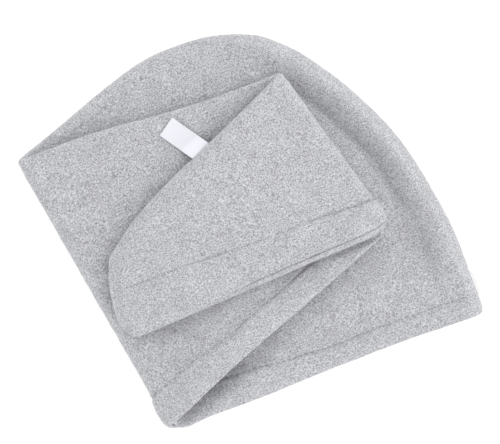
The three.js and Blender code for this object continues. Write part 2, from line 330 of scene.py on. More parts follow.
def mirrored(crease, flat):
    """The flat point's mirror image in the crease, where folding there would bring it."""
    return flat - 2 * past_crease(crease, flat)[..., None] * crease[1]


def roll_start(crease, flat):
    """The point level with this one on the line where the fold's roll starts."""
    return flat - (past_crease(crease, flat) + half_turn)[..., None] * crease[1]


print("the creases start at", left_crease[0].round(3), "and", right_crease[0].round(3))

# %% [markdown]
# ## The thickness of a ply
#
# The open side is turned up and stitched down, so it is thicker than the rest, and it is plumpest halfway
# between its edge and its stitches. The hem of the real towel isn't equally deep everywhere, so its depth
# is a short table.

# %% How deep the hem is and how thick a ply is
cloth_thickness = 2.8 * MM
stitch_width = 1.2 * MM
hem_plump = 0.6 * MM
hem_wander = 0.6 * MM
wander_length = 14 * MM
hem_depths = [
    # along, millimetres
    (0, 15), (0.17, 14.8), (0.257, 20.5), (0.34, 24), (0.42, 22.5), (0.483, 18.5),
    (0.6, 19.5), (0.703, 24), (0.8, 28), (0.87, 31), (0.907, 33.5), (1, 35),
]


def hem_depth(flat):
    """The depth of the turned-up hem: straight lines between the table's places, and a slight wander."""
    wander = hem_wander * soft_relief(flat * [1, 0], wander_length, 5)
    return np.interp(-flat[..., 0] / towel_length, *np.array(hem_depths).T) * MM + wander


def ply_thickness(flat):
    """Full cloth, and more in the hem: half a sine wave there, from its edge to its stitches."""
    hem, depth = from_hem(flat), hem_depth(flat)
    band = 1 - ease((hem - depth) / (3 * stitch_width))
    plump = hem_plump * band * np.sin(np.pi * np.clip(hem / depth, 0, 1))
    return mix(cloth_thickness, hem_thickness, band) + plump


print("the hem is", (hem_depth(hem_points).min() / MM).round(1), "to",
      (hem_depth(hem_points).max() / MM).round(1), "mm deep")

# %% [markdown]
# ## The air between the plies
#
# Seen from the side, the towel is a sandwich: two plies with air between them. The seam lets in no air.
# The hood is puffed up, with a rim along its seam and a valley behind it, the folds are pressed nearly
# flat, and at the left fold the hood's mouth stands open. One formula adds these up, so each can be tuned
# alone.

# %% How much air is between the plies
seam_gap = 0.3 * MM
hood_loft = 6.6 * MM
rim_inset = 10 * MM
rim_loft = 2.2 * MM
valley_inset = 26 * MM
valley_outer_width = 9 * MM
valley_inner_width = 16 * MM
valley_depth = 5.8 * MM
crease_depth = 2.2 * MM
crease_width = 3.2 * MM
tail_loft = 5 * MM
settle_length = 60 * MM
wave_height = 0.9 * MM
wave_sizes = (42 * MM, 20 * MM)
least_loft = 0.5 * MM
seam_pinch = 1.4 * MM
hem_calm = 6 * MM
tail_calm_width = 26 * MM
nape_calm_width = 50 * MM
nape_flat, nape_ramp = 0.015 * towel_length, 0.17 * towel_length
mouth_bulges = np.array([
    # along, across, millimetres
    (0.325, 0.02, 4.5),
    (0.296, 0.034, 4.5),
    (0.263, 0.057, 4),
    (0.226, 0.087, 2.5),
])
mouth_reach = 11 * MM


def ply_gap(flat):
    """No air at the seam, then the hood's loft with the rim's bell on top and less the valley's bells. Only
    a little air at the folds, and bulges along the hem, where the hood's mouth stands open."""
    seam = from_seam(flat)
    hood_share = ease((-past_crease(left_crease, flat) - half_turn) / settle_length)
    tail_share = ease((past_crease(right_crease, flat) - half_turn) / settle_length)
    tail_share = tail_share * ease((from_hem(flat) - hem_calm) / tail_calm_width)
    rim = rim_loft * bell((seam - rim_inset) / (0.7 * rim_inset))
    nape_share = 1 - ease((-flat[..., 0] - nape_flat) / nape_ramp)
    nape_share = nape_share * mix(0.3, 1, ease((from_hem(flat) - hem_calm) / nape_calm_width))
    beyond = seam - valley_inset
    valley = valley_depth * bell(beyond / np.where(beyond < 0, valley_outer_width, valley_inner_width))
    valley = valley + crease_depth * bell(beyond / crease_width)
    waves = wave_height * (soft_relief(flat, wave_sizes[0], 3) + 0.8 * soft_relief(flat, wave_sizes[1], 4))
    loft = np.maximum(least_loft, hood_loft + nape_share * (rim - valley) + waves)
    from_bulges = np.linalg.norm(flat[..., None, :] - mouth_bulges[:, :2] * to_flat, axis=-1)
    mouth = (MM * mouth_bulges[:, 2] * bell(from_bulges / mouth_reach)).sum(-1)
    opened = mix(pressed_gap, loft, hood_share) + tail_share * (tail_loft + waves) + mouth
    return mix(seam_gap, opened, ease((seam + seam_pinch) / rim_inset) * ease(seam / seam_pinch))


def half_depth(flat):
    """Half of the sandwich: half of the air, and one ply."""
    return ply_gap(flat) / 2 + ply_thickness(flat)


print("the hood's middle is", (2 * half_depth(middle_of_hood) / MM).round(1), "mm thick")

# %% [markdown]
# ## The heights of the three layers
#
# The hood lies on the table, and the button under its nape corner lifts it a little. Each later layer
# leaves its fold high and then settles on whatever is under it, which the mirror image in the crease
# finds. A few stretches of its edges stand off the layer below, as springy hems and seams do.

# %% The stretches of edge that stand off the layer below
layer_gap = 1.4 * MM
edge_lifts = np.array([
    # along, across, millimetres up, millimetres of reach
    (0.4, 0.02, 7.5, 25),
    (0.45, 0.03, 3.5, 26),
    (0.53, 0.035, 1.5, 24),
    (0.725, 0.065, 6, 20),
    (0.79, 0.1, 3.5, 24),
    (0.93, 0.16, 4, 24),
    (0.45, 0.84, 5.5, 13),
    (0.475, 0.815, 5, 16),
    (0.52, 0.76, 4.5, 16),
    (0.59, 0.68, 2, 20),
    (0.75, 0.57, 6, 13),
    (0.8, 0.535, 5.5, 13),
    (0.87, 0.5, 1.5, 20),
    (0.94, 0.45, 0.8, 22),
])
lift_start = 18 * MM
print("stretches that stand off:", len(edge_lifts))


def edge_lift(flat):
    """The sum of the lifts' bells."""
    away = np.linalg.norm(flat[..., None, :] - edge_lifts[:, :2] * to_flat, axis=-1)
    return (MM * edge_lifts[:, 2] * bell(away / (MM * edge_lifts[:, 3]))).sum(-1)


# %% The height of the middle between the plies
def hood_height(flat):
    """The button's thickness, fading out round it, plus half of the sandwich."""
    beyond = np.linalg.norm(flat - button_place, axis=-1) - button_radius - 2 * cloth_thickness
    return (button_thickness + clearance) * (1 - ease(beyond / (2 * button_radius))) + half_depth(flat)


def settled(crease, flat, height_before):
    """The height of lying on the layer below, plus what is left of the height at which it left its fold."""
    under = mirrored(crease, flat)
    leaving = height_before(roll_start(crease, flat)) + 2 * fold_radius
    beyond = past_crease(crease, flat) - half_turn
    lift = edge_lift(flat) * ease(beyond / lift_start)
    lying = height_before(under) + half_depth(under) + layer_gap + half_depth(flat) + lift
    share = ease(beyond / settle_length)
    return lying + (1 - share) * np.maximum(0, leaving - lying)


def middle_height(flat):
    """The height of the second layer, from the left fold to the right one."""
    return settled(left_crease, flat, hood_height)


def top_height(flat):
    """The height of the third layer, the tail."""
    return settled(right_crease, flat, middle_height)


tip_height = top_height((hem_points[-1] + seam_points[-1]) / 2)
print("the tip of the tail lies", (tip_height / MM).round(1), "mm up")

# %% [markdown]
# ## Rolling the cut round its creases
#
# Bend modifiers could fold a flat mesh, but two slanting folds in a row are hard to aim with them. A
# formula is exact: before a crease the cloth is where it was, in the fold it runs round half a circle,
# and after it the cloth lies mirrored, one diameter higher. The offset across the sandwich turns with the
# cloth, so both plies stay apart.

# %% Rolling round a fold, and softer corners
def round_fold(foot, height, outward, angle, turn_over):
    """A point on half a circle above the foot, and the direction across the sandwich there, which is the
    circle's spoke, turned over where the layer is face up."""
    spoke = np.concatenate([np.sin(angle)[..., None] * outward, -np.cos(angle)[..., None]], -1)
    centre = np.concatenate([foot, (height + fold_radius)[..., None]], -1)
    return centre + fold_radius * spoke, turn_over * spoke


blunt_corners = (
    # corner, inward direction, pull, reach
    (hem_points[0], np.array([-0.7, 0.7]), 2.4 * MM, 10 * MM),
    (hem_points[-1], np.array([0.8, 0.6]), 1.6 * MM, 8 * MM),
)
soft_folds = (
    # crease, inward direction, draw, reach, bulge
    (left_crease, np.array([0.75, 0.66]), 1.6 * MM, 14 * MM, 1.7 * MM),
    (right_crease, np.array([-0.9, 0.44]), 5 * MM, 19 * MM, 0.4 * MM),
)
fold_bulge_place, fold_bulge_width = 10 * MM, 16 * MM
fold_bulge_depth = 18 * MM
lip_place = left_crease[0] + np.array([14, 3]) * MM
lip_push = np.array([-0.35, -0.94]) * 3.2 * MM
lip_reach = 11 * MM


def blunted(flat):
    """The point drawn in from the sharp corners. At a corner it moves by the pull, and the rest falls off
    with the square of the distance left to the reach."""
    for corner, inward, pull, reach in blunt_corners:
        away = np.linalg.norm(flat - corner, axis=-1)
        flat = flat + inward * (pull * np.clip(1 - away / reach, 0, 1) ** 2)[..., None]
    return flat


def softened(place, flat):
    """The place shifted where a fold ends at the hem. Both ends draw in round their corner and bulge a
    little further up the fold, and the hood's lip beside the left one is pushed outwards in a bell."""
    shift = lip_push * bell(np.linalg.norm(flat - lip_place, axis=-1) / lip_reach)[..., None]
    for crease, inward, draw, reach, bulge in soft_folds:
        from_corner = flat - crease[0]
        corner_share = np.clip(1 - np.linalg.norm(from_corner, axis=-1) / reach, 0, 1) ** 2
        up_fold = np.abs(crease[1][0] * from_corner[..., 1] - crease[1][1] * from_corner[..., 0])
        bulging = bell((up_fold - fold_bulge_place) / fold_bulge_width)
        bulging = bulging * bell(past_crease(crease, flat) / fold_bulge_depth)
        shift = shift + inward * (draw * corner_share)[..., None]
        shift = shift - np.array([inward[0], 0]) * (bulge * bulging)[..., None]
    place[..., :2] += shift
    return place


# %% The folded place of any point
def folded(flat, offset):
    """Where a flat point comes to lie, offset across the sandwich towards the front ply."""
    flat = blunted(flat)
    upward = np.array([0, 0, 1.0])
    past_left, past_right = past_crease(left_crease, flat), past_crease(right_crease, flat)
    bottom = np.concatenate([flat, hood_height(flat)[..., None]], -1), upward
    foot = roll_start(left_crease, flat)
    angle = np.clip((past_left + half_turn) / fold_radius, 0, np.pi)
    left = round_fold(foot, hood_height(foot), left_crease[1], angle, -1)
    middle = np.concatenate([mirrored(left_crease, flat), middle_height(flat)[..., None]], -1), -upward
    foot = roll_start(right_crease, flat)
    angle = np.clip((past_right + half_turn) / fold_radius, 0, np.pi)
    outward = right_crease[1] - 2 * (right_crease[1] @ left_crease[1]) * left_crease[1]
    right = round_fold(mirrored(left_crease, foot), middle_height(foot), outward, angle, 1)
    twice = mirrored(left_crease, mirrored(right_crease, flat))
    top = np.concatenate([twice, top_height(flat)[..., None]], -1), upward
    ends = past_left <= -half_turn, past_left < half_turn, past_right <= -half_turn, past_right < half_turn
    before = [end[..., None] for end in ends]
    layers = bottom, left, middle, right, top
    values = [[np.broadcast_to(layer[item], flat.shape[:-1] + (3,)) for layer in layers] for item in (0, 1)]
    place, across = (np.select(before, value[:-1], value[-1]) for value in values)
    place = softened(place + offset[..., None] * across, flat)
    place[..., :2] += nape_corner
    return place


tip = folded(hem_points[-1:], np.zeros(1))[0]
print("the tail's hem corner comes to lie at", tip.round(3))

# %% [markdown]
# ## Meshes from grids
#
# Blender takes a whole mesh at once when its numbers are in flat arrays. A ply is a closed shell: a fine
# grid for its plush outer face, a coarse one for its hidden inner face, and a strip between their
# borders.

# %% Grid, strip and mesh helpers
def grid_faces(number, flip):
    """Two triangles for each cell of a grid of corner numbers."""
    a, b, c, d = number[:-1, :-1], number[:-1, 1:], number[1:, 1:], number[1:, :-1]
    faces = np.stack([a, b, c, a, c, d], -1).reshape(-1, 3)
    return faces[:, ::-1] if flip else faces


def border_sides(number, rows, shares):
    """The four sides of a grid's border in turn, each with its corners' shares of the way along it."""
    along = (rows - rows[0]) / (rows[-1] - rows[0])
    first, last = ((row - row[0]) / (row[-1] - row[0]) for row in (shares[0], shares[-1]))
    return [
        (number[0], first), (number[:, -1], along), (number[-1, ::-1], 1 - last[::-1]),
        (number[::-1, 0], 1 - along[::-1]),
    ]


def strip_faces(first, first_at, second, second_at):
    """Triangles between two borders: each edge of one joins the corner that the other has come to."""
    second_reached = np.searchsorted(second_at[1:], first_at[1:], side="left")
    first_reached = np.searchsorted(first_at[1:], second_at[1:], side="right")
    return np.concatenate([
        np.stack([first[:-1], second[second_reached], first[1:]], -1),
        np.stack([first[first_reached], second[:-1], second[1:]], -1),
    ])


def new_mesh(name, places, faces, uvs=None):
    """A smooth mesh object at the origin, from places, triangles and a UV pair for each corner."""
    mesh = bpy.data.meshes.new(name)
    mesh.vertices.add(len(places))
    mesh.vertices.foreach_set("co", np.asarray(places, np.float32).ravel())
    mesh.loops.add(faces.size)
    mesh.loops.foreach_set("vertex_index", faces.ravel().astype(np.int32))
    mesh.polygons.add(len(faces))
    mesh.polygons.foreach_set("loop_start", np.arange(0, faces.size, 3, dtype=np.int32))
    mesh.polygons.foreach_set("use_smooth", np.ones(len(faces), bool))
    mesh.update(calc_edges=True)
    if uvs is not None:
        layer = mesh.uv_layers.new(name="cut")
        layer.data.foreach_set("uv", np.asarray(uvs, np.float32)[faces.ravel()].ravel())
    piece = bpy.data.objects.new(name, mesh)
    bpy.context.scene.collection.objects.link(piece)
    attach(piece, "root")
    print(f"{name}: {len(places)} corners, {len(faces)} triangles")
    return piece


sample = grid_faces(np.arange(12).reshape(3, 4), False)
print("a grid of 3 by 4 corners has", len(sample), "triangles")

# %% [markdown]
# ## The rows and lines of the fine grid
#
# A grid with even steps would blur the tight curves at the edges and in the folds. The steps are short
# there, and about as long as the pile elsewhere.

# %% Rows along the towel
fine_step = 1.22 * MM
fine_turns = 15
fine_edge = np.array([0, 0.15, 0.45, 0.9, 1.5, 2.3, 3.3]) * MM
fine_stitched = np.array([-3, -1.9, -1.2, -0.6, 0, 0.6, 1.2, 1.9, 3]) * MM
fine_counts = (12, 96)
gauge_rows = 0.05


def rows_near(row, lengths):
    """Row numbers at the given lengths from a row, measured halfway across the cut."""
    ahead = gauge_rows if row < tail_row / 2 else -gauge_rows
    halfway = cut_point(np.array([row, row + ahead]), np.array([0.5, 0.5]))
    per_row = np.linalg.norm(halfway[1] - halfway[0]) / gauge_rows
    return row + np.asarray(lengths) / per_row


def spaced(start, end, length):
    """Even steps of about the given length along the towel, without the last."""
    middles = cut_point(np.array([start, end]), np.array([0.5, 0.5]))
    count = max(2, int(np.linalg.norm(middles[1] - middles[0]) / length))
    return np.linspace(start, end, count, endpoint=False)


def towel_rows(step, turns, edge):
    """All rows: fine at the two ends and round each fold, and even between."""
    nape = rows_near(0, edge)
    left, right = (
        rows_near(row, np.linspace(-half_turn, half_turn, turns)) for row in (left_fold_row, right_fold_row)
    )
    tail = rows_near(tail_row, -edge[::-1])
    return np.concatenate([
        nape[:-1], spaced(nape[-1], left[0], step), left[:-1], spaced(left[-1], right[0], step), right[:-1],
        spaced(right[-1], tail[0], step), tail,
    ])


print("the outer faces have", len(towel_rows(fine_step, fine_turns, fine_edge)), "rows")


# %% Lines across the towel
slant_rows = 0.02


def stitch_reach(rows):
    """How far along a row its stitches are: the hem's depth over the sine between the row and the hem."""
    hem_at = spline(hem_points, rows)
    across = spline(seam_points, rows) - hem_at
    slant = spline(hem_points, rows + slant_rows) - spline(hem_points, rows - slant_rows)
    sine = (across[:, 0] * slant[:, 1] - across[:, 1] * slant[:, 0]) / (
        np.linalg.norm(across, axis=-1) * np.linalg.norm(slant, axis=-1)
    )
    return hem_depth(hem_at) / np.abs(sine)


def across_shares(rows, inset, edge, stitched, counts):
    """For each row, shares from the hem to the seam: the edge lengths at both sides, the stitched lengths
    about the stitch line, and even steps between them."""
    width = np.linalg.norm(spline(hem_points, rows) - spline(seam_points, rows), axis=-1)[:, None]
    hem_side = inset[:, None] + edge
    stitch_side = stitch_reach(rows)[:, None] + stitched
    seam_side = width - edge[::-1]
    hem_part, cloth_part = (
        mix(start[:, -1:], end[:, :1], np.linspace(0, 1, count + 2)[1:-1])
        for start, end, count in ((hem_side, stitch_side, counts[0]), (stitch_side, seam_side, counts[1]))
    )
    return np.concatenate([hem_side, hem_part, stitch_side, cloth_part, seam_side], 1) / width


print("and", sum(fine_counts) + 2 * len(fine_edge) + len(fine_stitched), "lines across")

# %% [markdown]
# ## The two panels
#
# At the seam the plies were turned right side out, so each one's outer face rolls down to meet the other
# in a fine line. At the hem each ply ends in its own soft fold. The outer face also carries the low nubs
# of the pile; the finest grain is left to the material, which is where a texture smaller than the grid
# belongs.

# %% The front ply's inset hem, and the slot at the right fold
tail_hem_inset = 4 * MM
inset_start, inset_start_length = 0.65, 0.024
inset_end, inset_end_length = 0.84, 0.1
hem_rounding = 2.6 * MM
inset_rounding = 1.3 * MM
bead_height = 3.9 * MM
bead_middle = 2.7 * MM
bead_width = 2.4 * MM
trough_depth = 2.4 * MM
trough_width = 2.5 * MM
trough_out = 0.6 * MM
trough_start = 7 * MM
trough_length = 75 * MM


def inset_share(flat):
    """How much the front ply's hem stays behind the back ply's: fully from the right fold on, and no more
    towards the tip."""
    along = -flat[..., 0] / towel_length
    begun = ease((along - inset_start) / inset_start_length)
    return begun * (1 - ease((along - inset_end) / inset_end_length))


def slot_trough(flat):
    """The groove pressed into the middle layer beside the top layer's hem: a bell across the line where
    that hem lies on it, which the mirror image in the right crease finds, and along it only the stretch
    next to the fold."""
    beside = from_hem(mirrored(right_crease, flat)) + trough_out
    away = np.linalg.norm(flat - right_crease[0], axis=-1)
    stretch = ease(away / trough_start) * (1 - ease((away - trough_start) / trough_length))
    before = ease(-(past_crease(right_crease, flat) + half_turn) / trough_width)
    return trough_depth * bell(beside / trough_width) * stretch * before


print("the slot is deepest at", (slot_trough(hem_line).max() / MM).round(1), "mm on the hem")


# %% The two faces of a ply
stitch_depth = 1.5 * MM
stitch_pitch = 4.2 * MM
pucker_mean, pucker_beat, pucker_chance = 0.85, 0.2, 0.45
pucker_size = 9 * MM
welt_inset = 4.6 * MM
welt_width = 1.1 * MM
welt_depth = 0.35 * MM
thin_share = 0.12
seam_share = 0.06
least_wall = 0.4 * MM


def quarter_round(distance, radius):
    """The height of a quarter circle: 0 at its edge and 1 where it is level."""
    share = np.clip(distance / radius, 0, 1)
    return np.sqrt(np.maximum(0, 1 - (1 - share) ** 2))


def ply_faces(flat, inset, side):
    """The offsets of a ply's inner and outer face: the outer one rolls down at the seam, and both round off
    the hem."""
    edge = from_hem(flat)
    hem = np.maximum(0, edge - inset)
    seam = np.maximum(0, from_seam(flat))
    inner = ply_gap(flat) / 2
    bead = bead_height * inset_share(flat) * bell((edge - bead_middle) / bead_width)
    beat = np.sin(2 * np.pi * flat[..., 0] / stitch_pitch)
    pucker = pucker_mean + pucker_beat * beat + pucker_chance * soft_relief(flat, pucker_size, 6)
    groove = stitch_depth * pucker * bell((edge - hem_depth(flat)) / stitch_width)
    welt = welt_depth * bell((seam - welt_inset) / welt_width)
    rolled = np.maximum(seam_share, quarter_round(seam, cloth_thickness))
    full = (ply_thickness(flat) - groove - welt) * rolled
    if side < 0:
        full = full - slot_trough(flat)
        round_off = mix(thin_share, 1, quarter_round(hem, hem_rounding))
        return -(inner + full * (0.5 - 0.5 * round_off) - bead), -(inner + full * (0.5 + 0.5 * round_off))
    round_off = mix(thin_share, 1, quarter_round(hem, mix(hem_rounding, inset_rounding, inset_share(flat))))
    outer_face = inner + full * (0.5 + 0.5 * round_off)
    inner_face = np.maximum(inner + full * (0.5 - 0.5 * round_off), bead - inner + clearance)
    return np.minimum(inner_face, outer_face - least_wall), outer_face


# %% The nubs of the pile
nub_sizes = (
    # height, size, seed
    (0.16 * MM, 2.3 * MM, 21),
    (0.12 * MM, 4.7 * MM, 31),
    (0.18 * MM, 11 * MM, 41),
)


def surface_normals(places):
    """The normalised cross product of the steps along the grid's lines and its rows."""
    normal = np.cross(np.gradient(places, axis=1), np.gradient(places, axis=0))
    return normal / np.maximum(np.linalg.norm(normal, axis=-1, keepdims=True), 1e-12)


def pile_nubs(flat, side):
    """Clumps of pile, as the sum of soft relief of three sizes."""
    return sum(height * soft_relief(flat, size, seed + side) for height, size, seed in nub_sizes)


print("the nubs stand up to", (pile_nubs(hem_line, 1).max() / MM).round(2), "mm proud on the hem")


# %% A closed ply
coarse_step = 3 * MM
coarse_turns = 9
coarse_edge = np.array([0, 0.6, 1.4, 2.4, 3.6, 5]) * MM
coarse_counts = (5, 22)


def panel_grid(side, step, turns, edge, stitched, counts, outer):
    """One face of a ply: its rows and shares, its flat points and where they come to lie."""
    rows = towel_rows(step, turns, edge)
    inset = tail_hem_inset * inset_share(spline(hem_points, rows)) * (side > 0)
    shares = across_shares(rows, inset, edge, stitched, counts)
    flat = cut_point(rows[:, None], shares)
    places = folded(flat, ply_faces(flat, inset[:, None], side)[1 if outer else 0])
    # The inner face is hidden, and carries the nubs only in the last few millimetres before the hem.
    nubs = pile_nubs(flat, side) * (1 if outer else -bell(from_hem(flat) / (3 * MM)))
    places = places + side * nubs[..., None] * surface_normals(places)
    # No nub goes through the table.
    places[..., 2] = np.maximum(places[..., 2], 0)
    return rows, shares, flat, places


def towel_panel(name, side):
    """A ply: its outer and inner grids and the strips that join their borders."""
    out_rows, out_shares, out_flat, outer = panel_grid(
        side, fine_step, fine_turns, fine_edge, fine_stitched, fine_counts, True
    )
    in_rows, in_shares, in_flat, inner = panel_grid(
        side, coarse_step, coarse_turns, coarse_edge, np.zeros(1), coarse_counts, False
    )
    out_number = np.arange(out_flat[..., 0].size).reshape(out_flat.shape[:2])
    in_number = out_number.size + np.arange(in_flat[..., 0].size).reshape(in_flat.shape[:2])
    strips = np.concatenate([
        strip_faces(*outer_side, *inner_side) for outer_side, inner_side in zip(
            border_sides(out_number, out_rows, out_shares), border_sides(in_number, in_rows, in_shares)
        )
    ])
    faces = np.concatenate([
        grid_faces(out_number, side < 0), grid_faces(in_number, side > 0),
        strips if side > 0 else strips[:, ::-1],
    ])
    places = np.concatenate([outer.reshape(-1, 3), inner.reshape(-1, 3)])
    flats = np.concatenate([out_flat.reshape(-1, 2), in_flat.reshape(-1, 2)])
    panel = new_mesh(name + "_cloth", places, faces, (flats - lattice_low) / towel_length)
    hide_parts(name)
    return panel


back_cloth = towel_panel("back_panel", -1)
front_cloth = towel_panel("front_panel", 1)

# %% [markdown]
# ## The hem's stitches
#
# A machine stitch shows as a short bar of thread sunk into the pile. Each is a small closed spindle, and
# all of one ply are one mesh, laid along the line that runs a hem's width inside the edge.

# %% The stitch line
stitch_length = 3 * MM
thread_radius = 0.34 * MM
line_steps = 3000
line_rows = np.linspace(0.05, tail_row - 0.12, line_steps)
first_stitch, last_stitch = 2 * MM, 4 * MM
ring_share = np.linspace(-1, 1, 7)
ring_least = 0.04
ring_sides = 8
ring_angle = np.linspace(0, 2 * np.pi, ring_sides, endpoint=False)

hem_at, seam_at = spline(hem_points, line_rows), spline(seam_points, line_rows)
line_inward = (seam_at - hem_at) / np.linalg.norm(seam_at - hem_at, axis=-1, keepdims=True)
stitch_line = hem_at + line_inward * stitch_reach(line_rows)[:, None]
line_length = np.concatenate([[0], np.cumsum(np.linalg.norm(np.diff(stitch_line, axis=0), axis=-1))])
stitch_starts = np.arange(first_stitch, line_length[-1] - last_stitch, stitch_pitch)
print(len(stitch_starts), "stitches along", line_length[-1].round(3), "m of each hem")


# %% Stitches along the hem
def spindle_faces(count):
    """Triangles of closed spindles: walls between neighbouring rings, and a fan over each end's ring."""
    shape = (count, len(ring_share), ring_sides)
    number = np.arange(np.prod(shape)).reshape(shape)
    turned = np.roll(number, -1, axis=2)
    a, b, c, d = number[:, :-1], turned[:, :-1], turned[:, 1:], number[:, 1:]
    walls = np.stack([a, b, c, a, c, d], -1).reshape(-1, 3)
    caps = []
    for ring in (number[:, 0, ::-1], number[:, -1]):
        hub = np.broadcast_to(ring[:, :1], ring[:, 1:-1].shape)
        caps.append(np.stack([hub, ring[:, 1:-1], ring[:, 2:]], -1).reshape(-1, 3))
    return np.concatenate([walls, *caps])


def hem_stitches(name, side):
    """Spindles along the stitch line, whose radius is the root of one less the square of the share."""
    line_inset = tail_hem_inset * inset_share(hem_at) * (side > 0)
    at = stitch_starts[:, None] + ring_share * stitch_length / 2
    centre, across = (
        np.stack([np.interp(at, line_length, line[:, item]) for item in (0, 1)], -1)
        for line in (stitch_line, line_inward)
    )
    inset_at = np.interp(at, line_length, line_inset)
    radius = thread_radius * np.sqrt(np.maximum(ring_least, 1 - ring_share**2))
    sideways = radius[:, None] * np.cos(ring_angle)
    upward = radius[:, None] * np.sin(ring_angle)
    flat = centre[..., None, :] + across[..., None, :] * sideways[..., None]
    outer = ply_faces(centre, inset_at, side)[1] * side
    places = folded(flat, side * (outer[..., None] + upward))
    faces = spindle_faces(len(stitch_starts))
    stitches = new_mesh(name, places.reshape(-1, 3), faces if side < 0 else faces[:, ::-1])
    return stitches


back_stitches = hem_stitches("back_hem_stitches", -1)
front_stitches = hem_stitches("front_hem_stitches", 1)

# %% [markdown]
# ## The label
#
# A side label is a satin ribbon folded in half, with both ends sewn into the seam. A plain slab would
# pass from above, but its edge would show no fold, so the ribbon is drawn as a hairpin: along its lower
# leaf, round the tip and back along the upper leaf.

# %% The ribbon's lines
label_length = 30 * MM
label_width = 15.6 * MM
label_thickness = 0.8 * MM
label_turn = np.radians(12)
label_drop = 12 * MM
label_tuck = 0.5 * MM
label_row = 11.385
ribbon_thickness = 0.28 * MM
leaf_steps, tip_steps, width_steps = 28, 13, 27
side_by = np.linspace(-1, 1, width_steps) * label_width / 2
root_reach = side_by * np.tan(label_turn) - label_tuck


def ribbon_line(half):
    """One line of the hairpin at half of its thickness: out along the lower leaf, round the tip, and back
    along the upper leaf. The tip is half a circle, whose reach is a cosine and whose lift is a sine."""
    straight = np.linspace(0, 1, leaf_steps)[:, None]
    bend = np.linspace(-np.pi / 2, np.pi / 2, tip_steps)[1:-1, None]
    tip_reach = label_length - label_thickness / 2
    leaf = root_reach + (tip_reach - root_reach) * straight
    bent = tip_reach + half * np.cos(bend) + 0 * side_by
    reach = np.concatenate([leaf, bent, leaf[::-1]])
    flat_leaf = np.full(leaf.shape, half)
    lift = np.concatenate([-flat_leaf, half * np.sin(bend) + 0 * side_by, flat_leaf])
    return reach, lift


outer_line = ribbon_line(label_thickness / 2)
inner_line = ribbon_line(label_thickness / 2 - ribbon_thickness)
print("the ribbon's section has", 2 * len(outer_line[0]), "corners")


# %% Label
def label_plan(reach):
    """Where the label is sewn in, and the flat places of its reaches: outwards from the seam, turned a
    little from the square."""
    before, root, after = spline(seam_points, label_row + np.array([-0.01, 0, 0.01]))
    along = (after - before) / np.linalg.norm(after - before)
    cosine, sine = np.cos(label_turn), np.sin(label_turn)
    out = np.array([[cosine, -sine], [sine, cosine]]) @ [along[1], -along[0]]
    sideways = np.array([-out[1], out[0]])
    return root, root + reach[..., None] * out + side_by[:, None] * sideways


def label_mesh():
    """The outer and inner line of the ribbon, swept across its width. Its middle goes down from the seam to
    the layer below in an eased ramp."""
    reach, lift = (np.concatenate([outer_line[item], inner_line[item][::-1]]) for item in (0, 1))
    root, plan = label_plan(reach)
    under = mirrored(right_crease, plan)
    sewn = top_height(root[None])[0]
    lying = middle_height(under) + half_depth(under) + clearance + label_thickness / 2
    height = mix(sewn, lying, ease((reach - root_reach) / label_drop)) + lift
    places = np.concatenate([mirrored(left_crease, under) + nape_corner, height[..., None]], -1)
    number = np.arange(reach.size).reshape(reach.shape)
    faces = [grid_faces(np.concatenate([number, number[:1]]), False)]
    half_count = len(number) // 2
    for column, flip in ((0, True), (-1, False)):
        pair = np.stack([number[:half_count, column], number[::-1, column][:half_count]], 1)
        faces.append(grid_faces(pair, flip))
    uvs = np.stack([reach, side_by + 0 * reach], -1).reshape(-1, 2) / label_length
    return new_mesh("satin_label", places.reshape(-1, 3), np.concatenate(faces), uvs)


label = label_mesh()
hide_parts("side_label")

# %% [markdown]
# ## The button's thread
#
# The button is carried over from the frame, because its dish and its four holes are already right. Its
# thread runs through two pairs of holes, as two loops that pass through the cloth.

# %% Thread through the button
hole_spacing = 6.4 * MM
loop_radius = 0.55 * MM
thread_low, thread_high = 0.7 * MM, 4.6 * MM
loop_steps, loop_sides = 40, 10


def thread_loop(middle, number_at):
    """One closed loop of thread in an upright plane: a squared circle, whose coordinates are signed square
    roots of a cosine and a sine, with a round section swept round it."""
    turn = np.linspace(0, 2 * np.pi, loop_steps, endpoint=False)
    circle = np.stack([np.cos(turn), np.sin(turn)], -1)
    squared = np.sign(circle) * np.sqrt(np.abs(circle))
    path = squared * [hole_spacing / 2, (thread_high - thread_low) / 2] + [0, (thread_high + thread_low) / 2]
    ahead = np.roll(path, -1, axis=0) - np.roll(path, 1, axis=0)
    ahead /= np.linalg.norm(ahead, axis=-1, keepdims=True)
    outward = np.stack([ahead[:, 1], -ahead[:, 0]], -1)
    angle = np.linspace(0, 2 * np.pi, loop_sides, endpoint=False)
    section = path[:, None] + loop_radius * np.cos(angle)[:, None] * outward[:, None]
    sideways = middle[1] + loop_radius * np.sin(angle) + np.zeros((len(path), 1))
    places = np.stack([middle[0] + section[..., 0], sideways, section[..., 1]], -1)
    number = number_at + np.arange(places[..., 0].size).reshape(places.shape[:2])
    number = np.concatenate([number, number[:1]])
    number = np.concatenate([number, number[:, :1]], 1)
    return places.reshape(-1, 3), grid_faces(number, False)


button_middle = ((button_low + button_high) / 2)[:2]
loops = [
    thread_loop(button_middle + [0, side * hole_spacing / 2], number * loop_steps * loop_sides)
    for number, side in enumerate((-1, 1))
]
loop_places, loop_faces = (np.concatenate([loop[item] for loop in loops]) for item in (0, 1))
button_thread = new_mesh("button_thread", loop_places, loop_faces)

# %% [markdown]
# ## The towelling
#
# Plush towelling is a dense pile of fine loops. Their tips catch the light and the gaps between them stay
# dark, which reads as a fine grain of light and dark specks. Hair particles could make every loop, but a
# folded towel would need millions of them. A noise texture through a colour ramp paints the specks into
# the colour, as painted light on the tips and painted shade in the gaps, and the same noise gives their
# bump.

# %% Towelling
def new_material(name):
    """An empty node tree with its output and its principled shader."""
    material = bpy.data.materials.new(name)
    material.use_nodes = True
    shader = material.node_tree.nodes["Principled BSDF"]
    return material, material.node_tree.nodes, material.node_tree.links, shader


